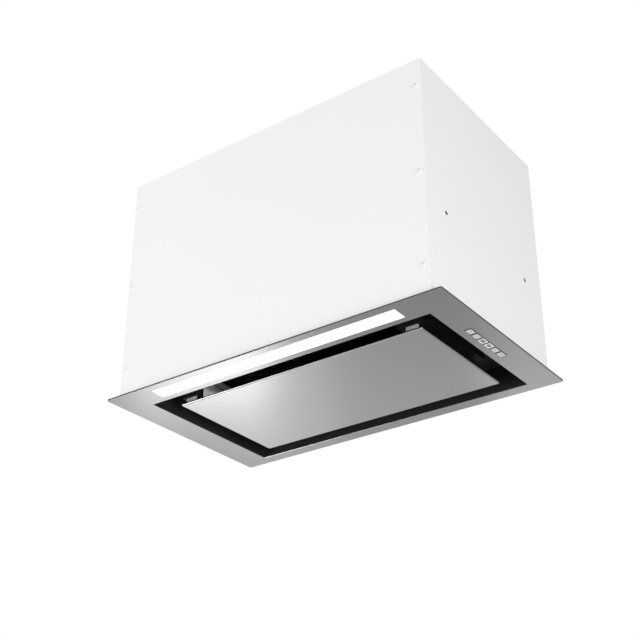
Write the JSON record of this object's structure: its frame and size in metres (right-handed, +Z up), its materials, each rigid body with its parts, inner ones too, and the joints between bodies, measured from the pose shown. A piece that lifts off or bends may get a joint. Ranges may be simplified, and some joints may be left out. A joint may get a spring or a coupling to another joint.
{
  "type": "range hood",
  "caption": "Built-in range hood with a stainless faceplate, light bar, push-buttons, swing-down suction panel, grease filter and blower in a sheet-metal casing.",
  "frame": {"origin": "centre of the plane in which the faceplate's hem seats against the underside of the furniture", "axes": "+Z up out of the seat towards the duct outlet, +X right along the faceplate's long side, -Y the front with the light bar"},
  "size_m": [0.52, 0.304, 0.3913],
  "materials": {
    "stainless": "fine brushed stainless steel",
    "casing_paint": "pale grey coated sheet steel",
    "black_steel": "black powder coat",
    "galvanised": "galvanised sheet steel",
    "aluminium": "satin aluminium",
    "mesh": "expanded aluminium mesh",
    "steel": "bright zinc-plated steel",
    "black_plastic": "moulded black plastic",
    "grey_plastic": "moulded grey plastic",
    "white_plastic": "moulded white plastic",
    "diffuser": "frosted white acrylic, lit from behind",
    "button": "satin light grey button cap",
    "board": "green circuit board",
    "led": "white light-emitting diode",
    "rubber": "black rubber",
    "magnet": "ferrite"
  },
  "bodies": {
    "hood": {"faceplate": "stainless", "casing_front": "casing_paint", "casing_back": "casing_paint", "casing_left": "casing_paint", "casing_right": "casing_paint", "casing_top": "casing_paint", "suction_tray": "black_steel", "hinge_bracket_left": "black_steel", "hinge_bracket_right": "black_steel", "filter_rail_right": "black_steel", "corner_brackets": "galvanised", "filter_rail_left": "galvanised", "motor_bracket": "galvanised", "electrics_box": "galvanised", "electrics_lid": "galvanised", "filter_frame": "aluminium", "light_channel": "aluminium", "capacitor": "aluminium", "filter_mesh": "mesh", "casing_screws": "steel", "collar_screws": "steel", "hinge_pins": "steel", "flap_spindle": "steel", "motor": "steel", "catch_left": "black_plastic", "catch_right": "black_plastic", "outlet_collar": "black_plastic", "control_housing": "black_plastic", "cable_gland": "black_plastic", "switches": "black_plastic", "scroll_wrap": "grey_plastic", "scroll_side_left": "grey_plastic", "scroll_side_right": "grey_plastic", "light_end_caps": "white_plastic", "terminal_block": "white_plastic", "light_diffuser": "diffuser", "led_board": "board", "control_board": "board", "power_board": "board", "led_chips": "led", "motor_bushes": "rubber", "catch_magnets": "magnet"},
    "access_panel": {"panel_skin": "stainless", "panel_stiffener": "galvanised", "panel_tongue_left": "galvanised", "panel_tongue_right": "galvanised", "panel_hinge_left": "galvanised", "panel_hinge_right": "galvanised"},
    "button_1": {"button_1": "button"},
    "button_2": {"button_2": "button"},
    "button_3": {"button_3": "button"},
    "button_4": {"button_4": "button"},
    "button_5": {"button_5": "button"},
    "button_6": {"button_6": "button"},
    "flap_front": {"flap_front": "black_plastic"},
    "flap_back": {"flap_back": "black_plastic"},
    "fan": {"impeller": "grey_plastic", "motor_shaft": "steel"},
    "latch": {"filter_latch": "black_plastic"}
  },
  "joints": [
    {"name": "access_panel_hinge", "type": "hinge", "parent": "hood", "child": "access_panel", "pos_m": [0, 0.0997, 0.009], "axis": [1, 0, 0], "range_deg": [0, 85]},
    {"name": "button_1_press", "type": "slide", "parent": "hood", "child": "button_1", "axis": [0, 0, 1], "range_m": [0, 0.0015], "stiffness_N_per_m": 250, "springref_m": -0.002},
    {"name": "button_2_press", "type": "slide", "parent": "hood", "child": "button_2", "axis": [0, 0, 1], "range_m": [0, 0.0015], "stiffness_N_per_m": 250, "springref_m": -0.002},
    {"name": "button_3_press", "type": "slide", "parent": "hood", "child": "button_3", "axis": [0, 0, 1], "range_m": [0, 0.0015], "stiffness_N_per_m": 250, "springref_m": -0.002},
    {"name": "button_4_press", "type": "slide", "parent": "hood", "child": "button_4", "axis": [0, 0, 1], "range_m": [0, 0.0015], "stiffness_N_per_m": 250, "springref_m": -0.002},
    {"name": "button_5_press", "type": "slide", "parent": "hood", "child": "button_5", "axis": [0, 0, 1], "range_m": [0, 0.0015], "stiffness_N_per_m": 250, "springref_m": -0.002},
    {"name": "button_6_press", "type": "slide", "parent": "hood", "child": "button_6", "axis": [0, 0, 1], "range_m": [0, 0.0015], "stiffness_N_per_m": 250, "springref_m": -0.002},
    {"name": "damper_back_swing", "type": "hinge", "parent": "hood", "child": "flap_back", "pos_m": [0, 0, 0.352], "axis": [1, 0, 0], "range_deg": [0, 75]},
    {"name": "damper_front_swing", "type": "hinge", "parent": "hood", "child": "flap_front", "pos_m": [0, 0, 0.352], "axis": [-1, 0, 0], "range_deg": [0, 75]},
    {"name": "fan_spin", "type": "hinge", "parent": "hood", "child": "fan", "pos_m": [0, -0.0535, 0.197], "axis": [1, 0, 0], "continuous": true},
    {"name": "filter_latch_slide", "type": "slide", "parent": "hood", "child": "latch", "axis": [-1, 0, 0], "range_m": [0, 0.006], "stiffness_N_per_m": 300, "springref_m": -0.005}
  ]
}
